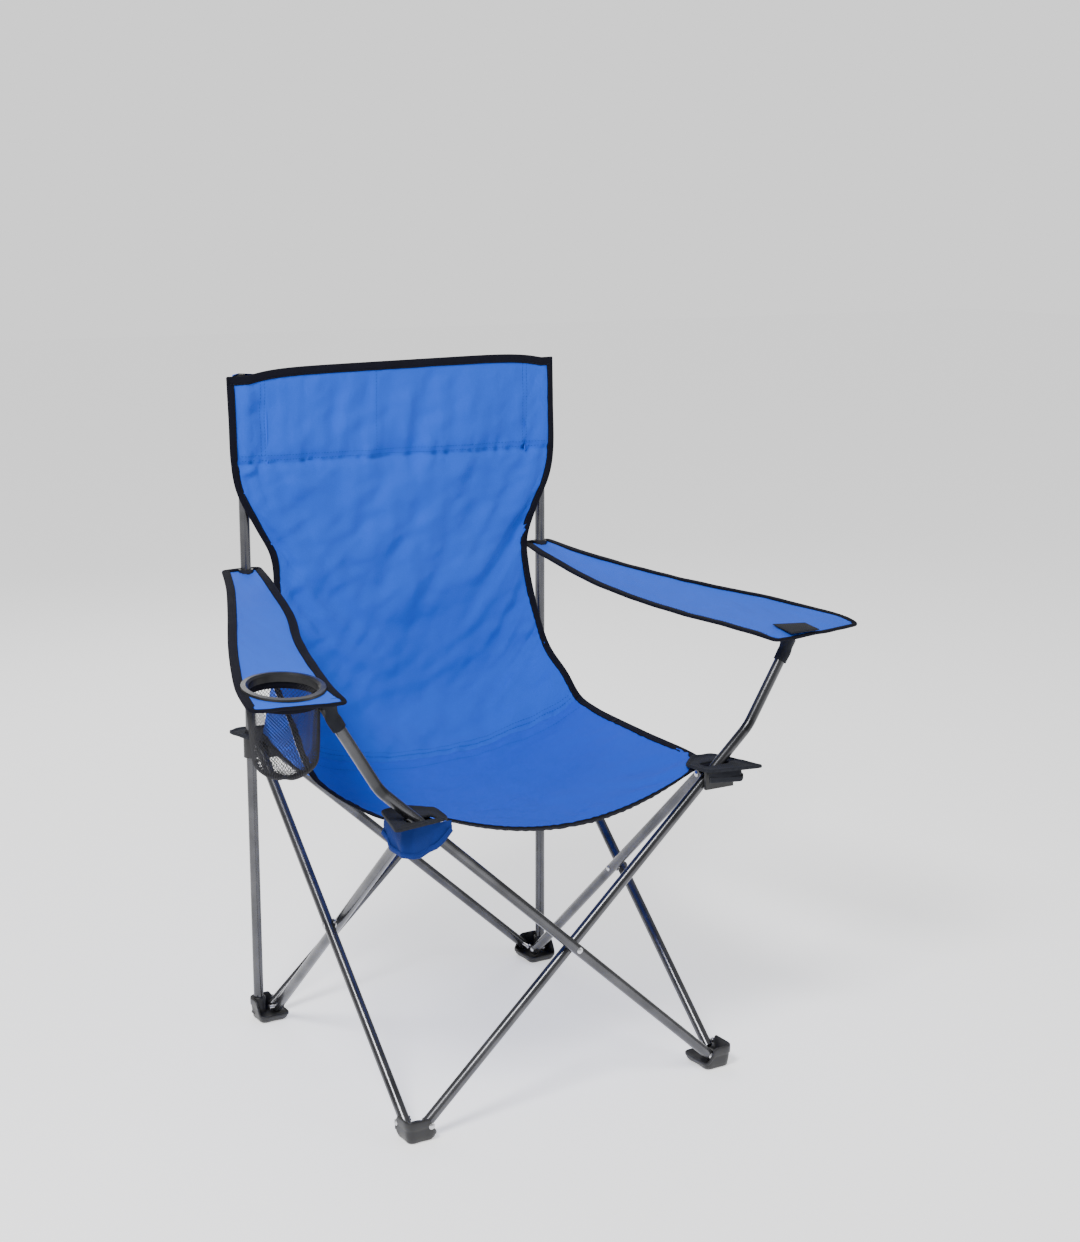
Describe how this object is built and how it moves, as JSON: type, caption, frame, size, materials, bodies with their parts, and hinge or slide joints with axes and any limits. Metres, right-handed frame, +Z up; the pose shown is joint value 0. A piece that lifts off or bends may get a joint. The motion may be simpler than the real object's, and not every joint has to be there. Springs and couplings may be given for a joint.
{
  "type": "folding camp chair",
  "caption": "Folding camp chair with a cloth sling seat and back on a crossed steel tube frame, cloth armrests and a mesh cup holder.",
  "frame": {"origin": "on the floor, under the middle of the open chair", "axes": "+Z up, the front of the chair faces -Y, +X is the sitter's left"},
  "size_m": [0.884, 0.5406, 0.913],
  "materials": {
    "tube_steel": "dark grey powder coat with a bright sheen",
    "rivet_steel": "plain zinc",
    "foot_plastic": "moulded black",
    "joint_plastic": "moulded black",
    "cap_plastic": "moulded black",
    "ring_plastic": "moulded black",
    "corner_patch": "stiff black corner patch",
    "mesh": "black open mesh",
    "blue_cloth": "plain weave blue polyester"
  },
  "bodies": {
    "rear_right_leg": {"foot_rear_right": "foot_plastic", "rivets_foot_rear_right": "rivet_steel", "post_right": "tube_steel", "post_cap_right": "cap_plastic", "arm_eyelet_right": "cap_plastic", "sleeve_right": "blue_cloth", "back_panel": "blue_cloth"},
    "rear_left_leg": {"foot_rear_left": "foot_plastic", "rivets_foot_rear_left": "rivet_steel", "post_left": "tube_steel", "post_cap_left": "cap_plastic", "arm_eyelet_left": "cap_plastic", "sleeve_left": "blue_cloth"},
    "front_right_foot": {"foot_front_right": "foot_plastic", "rivets_foot_front_right": "rivet_steel"},
    "front_left_foot": {"foot_front_left": "foot_plastic", "rivets_foot_front_left": "rivet_steel"},
    "front_right_joint": {"bracket_front_right": "joint_plastic", "rivets_joint_front_right": "rivet_steel", "corner_plate_front_right": "corner_patch", "corner_flap_front_right": "blue_cloth"},
    "front_left_joint": {"bracket_front_left": "joint_plastic", "rivets_joint_front_left": "rivet_steel", "corner_plate_front_left": "corner_patch", "corner_flap_front_left": "blue_cloth"},
    "rear_right_slider": {"slider_rear_right": "joint_plastic", "rivets_joint_rear_right": "rivet_steel", "corner_plate_rear_right": "corner_patch", "wing_right": "blue_cloth"},
    "rear_left_slider": {"slider_rear_left": "joint_plastic", "rivets_joint_rear_left": "rivet_steel", "corner_plate_rear_left": "corner_patch", "wing_left": "blue_cloth"},
    "rear_tube_b": {"tube_rear_b": "tube_steel", "rivet_cross_rear": "rivet_steel"},
    "rear_tube_a": {"tube_rear_a": "tube_steel"},
    "left_inner_tube": {"tube_left_inner": "tube_steel", "rivet_cross_left": "rivet_steel"},
    "left_outer_tube": {"tube_left_outer": "tube_steel"},
    "right_inner_tube": {"tube_right_inner": "tube_steel", "rivet_cross_right": "rivet_steel"},
    "right_outer_tube": {"tube_right_outer": "tube_steel"},
    "right_arm_tube": {"arm_tube_right": "tube_steel", "arm_cap_right": "cap_plastic", "rivet_cross_front": "rivet_steel"},
    "left_arm_tube": {"arm_tube_left": "tube_steel", "arm_cap_left": "cap_plastic"},
    "back_cloth": {"back_lower": "blue_cloth"},
    "seat_rear_cloth": {"seat_rear": "blue_cloth"},
    "seat_front_cloth": {"seat_front": "blue_cloth"},
    "armrest_right_cloth": {"armrest_right": "blue_cloth"},
    "cup_holder": {"cup_ring": "ring_plastic", "cup_pouch": "mesh"},
    "armrest_left_cloth": {"armrest_left": "blue_cloth"}
  },
  "joints": [
    {"name": "fold", "type": "hinge", "parent": "rear_right_leg", "child": "rear_tube_b", "pos_m": [-0.208, 0.228, 0.02], "axis": [0, -1, 0], "range_deg": [0, 42.7], "deforming": ["back_panel", "back_lower", "seat_front", "seat_rear", "wing_right", "wing_left", "armrest_right", "armrest_left", "cup_pouch", "corner_flap_front_right", "corner_flap_front_left"]},
    {"name": "rear_crossing", "type": "hinge", "parent": "rear_tube_b", "child": "rear_tube_a", "pos_m": [0, 0.236, 0.2095], "axis": [0, 1, 0], "range_deg": [0, 85.42]},
    {"name": "rear_right_slider_pivot", "type": "hinge", "parent": "rear_tube_a", "child": "rear_right_slider", "pos_m": [-0.208, 0.244, 0.399], "axis": [0, -1, 0], "range_deg": [0, 42.72]},
    {"name": "rear_left_foot_pivot", "type": "hinge", "parent": "rear_tube_a", "child": "rear_left_leg", "pos_m": [0.208, 0.244, 0.02], "axis": [0, -1, 0], "range_deg": [0, 42.72]},
    {"name": "rear_left_slider_pivot", "type": "hinge", "parent": "rear_tube_b", "child": "rear_left_slider", "pos_m": [0.208, 0.228, 0.399], "axis": [0, 1, 0], "range_deg": [0, 42.72]},
    {"name": "left_inner_pivot", "type": "hinge", "parent": "rear_left_leg", "child": "left_inner_tube", "pos_m": [0.213, 0.208, 0.02], "axis": [-1, 0, 0], "range_deg": [0, 42.72]},
    {"name": "left_crossing", "type": "hinge", "parent": "left_inner_tube", "child": "left_outer_tube", "pos_m": [0.221, 0, 0.2095], "axis": [1, 0, 0], "range_deg": [0, 85.42]},
    {"name": "front_left_foot_pivot", "type": "hinge", "parent": "left_outer_tube", "child": "front_left_foot", "pos_m": [0.229, -0.208, 0.02], "axis": [-1, 0, 0], "range_deg": [0, 42.72]},
    {"name": "front_left_joint_pivot", "type": "hinge", "parent": "left_inner_tube", "child": "front_left_joint", "pos_m": [0.213, -0.208, 0.399], "axis": [1, 0, 0], "range_deg": [0, 42.72]},
    {"name": "right_inner_pivot", "type": "hinge", "parent": "rear_right_leg", "child": "right_inner_tube", "pos_m": [-0.213, 0.208, 0.02], "axis": [-1, 0, 0], "range_deg": [0, 42.72]},
    {"name": "right_crossing", "type": "hinge", "parent": "right_inner_tube", "child": "right_outer_tube", "pos_m": [-0.221, 0, 0.2095], "axis": [1, 0, 0], "range_deg": [0, 85.42]},
    {"name": "front_right_foot_pivot", "type": "hinge", "parent": "right_outer_tube", "child": "front_right_foot", "pos_m": [-0.229, -0.208, 0.02], "axis": [-1, 0, 0], "range_deg": [0, 42.72]},
    {"name": "front_right_joint_pivot", "type": "hinge", "parent": "right_inner_tube", "child": "front_right_joint", "pos_m": [-0.213, -0.208, 0.399], "axis": [1, 0, 0], "range_deg": [0, 42.72]},
    {"name": "front_outer_pivot", "type": "hinge", "parent": "front_left_foot", "child": "right_arm_tube", "pos_m": [0.208, -0.244, 0.02], "axis": [0, 1, 0], "range_deg": [0, 42.72]},
    {"name": "front_inner_pivot", "type": "hinge", "parent": "front_right_foot", "child": "left_arm_tube", "pos_m": [-0.208, -0.228, 0.02], "axis": [0, -1, 0], "range_deg": [0, 42.72]},
    {"name": "back_cloth_hang", "type": "hinge", "parent": "rear_right_leg", "child": "back_cloth", "pos_m": [-0.233, 0.2172, 0.612], "axis": [1, 0, 0], "range_deg": [0, 35.46]},
    {"name": "seat_rear_hang", "type": "hinge", "parent": "rear_right_slider", "child": "seat_rear_cloth", "pos_m": [-0.221, 0.215, 0.412], "axis": [1, 0, 0], "range_deg": [0, 82.38]},
    {"name": "seat_front_hang", "type": "hinge", "parent": "front_right_joint", "child": "seat_front_cloth", "pos_m": [-0.221, -0.215, 0.412], "axis": [-1, 0, 0], "range_deg": [0, 82.38]},
    {"name": "armrest_right_hang", "type": "hinge", "parent": "rear_right_leg", "child": "armrest_right_cloth", "pos_m": [-0.233, 0.2295, 0.64], "axis": [-0.921, 0.1533, 0.3582], "range_deg": [0, 68.53]},
    {"name": "armrest_left_hang", "type": "hinge", "parent": "rear_left_leg", "child": "armrest_left_cloth", "pos_m": [0.233, 0.2295, 0.64], "axis": [-0.9238, -0.161, -0.3475], "range_deg": [0, 73.05]},
    {"name": "cup_holder_hang", "type": "hinge", "parent": "right_arm_tube", "child": "cup_holder", "pos_m": [-0.34008, -0.244, 0.56727], "axis": [0, -1, 0], "range_deg": [0, 122.59]}
  ],
  "couplings": [
    {"joint": "rear_crossing", "follows": "fold", "ratio": 2},
    {"joint": "rear_right_slider_pivot", "follows": "fold", "ratio": 1},
    {"joint": "rear_left_foot_pivot", "follows": "fold", "ratio": 1},
    {"joint": "rear_left_slider_pivot", "follows": "fold", "ratio": 1},
    {"joint": "left_inner_pivot", "follows": "fold", "ratio": 1},
    {"joint": "left_crossing", "follows": "fold", "ratio": 2},
    {"joint": "front_left_foot_pivot", "follows": "fold", "ratio": 1},
    {"joint": "front_left_joint_pivot", "follows": "fold", "ratio": 1},
    {"joint": "right_inner_pivot", "follows": "fold", "ratio": 1},
    {"joint": "right_crossing", "follows": "fold", "ratio": 2},
    {"joint": "front_right_foot_pivot", "follows": "fold", "ratio": 1},
    {"joint": "front_right_joint_pivot", "follows": "fold", "ratio": 1},
    {"joint": "front_outer_pivot", "follows": "fold", "ratio": 1},
    {"joint": "front_inner_pivot", "follows": "fold", "ratio": 1},
    {"joint": "back_cloth_hang", "follows": "fold", "ratio": 0.82999},
    {"joint": "seat_rear_hang", "follows": "fold", "ratio": 1.9288},
    {"joint": "seat_front_hang", "follows": "fold", "ratio": 1.9288},
    {"joint": "armrest_right_hang", "follows": "fold", "ratio": 1.6045},
    {"joint": "armrest_left_hang", "follows": "fold", "ratio": 1.7103},
    {"joint": "cup_holder_hang", "follows": "fold", "ratio": 2.8704}
  ]
}
